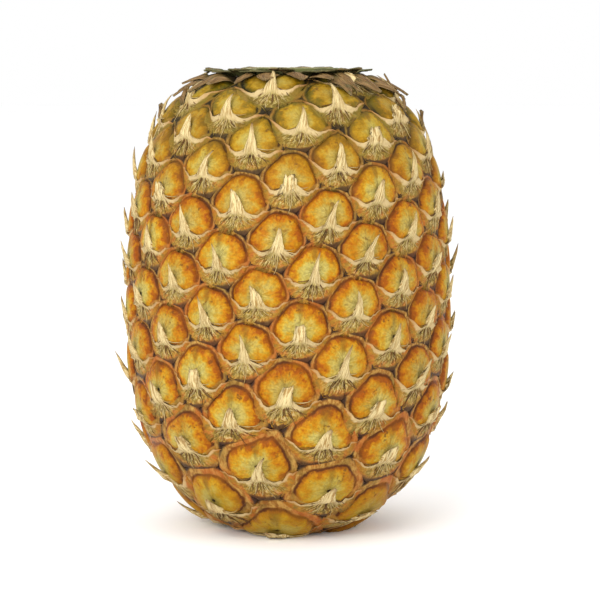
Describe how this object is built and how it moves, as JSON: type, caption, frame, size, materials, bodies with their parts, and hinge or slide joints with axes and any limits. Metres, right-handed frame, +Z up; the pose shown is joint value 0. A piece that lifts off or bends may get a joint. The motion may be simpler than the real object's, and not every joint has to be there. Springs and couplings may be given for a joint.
{
  "type": "pineapple",
  "caption": "Whole ripe pineapple standing on its base, crown cut off, spiral eyes with dry pointed bracts, crown stub and cut stalk end.",
  "frame": {"origin": "centre of the cut stalk's flat end, on the surface that the fruit stands on", "axes": "+Z up along the fruit's axis towards the crown, -Y towards the viewer of the picture, +X to the viewer's right"},
  "size_m": [0.1299, 0.1294, 0.1715],
  "materials": {
    "rind": "orange and yellow waxy rind with brown furrows, pale dry bracts, satin",
    "crown_leaf": "olive green leaf bases, pale and moist where they are cut",
    "cut_stalk": "dry, fibrous, tan"
  },
  "bodies": {
    "root": {"fruit": "rind", "crown_stub": "crown_leaf", "stalk_end": "cut_stalk"}
  },
  "joints": []
}
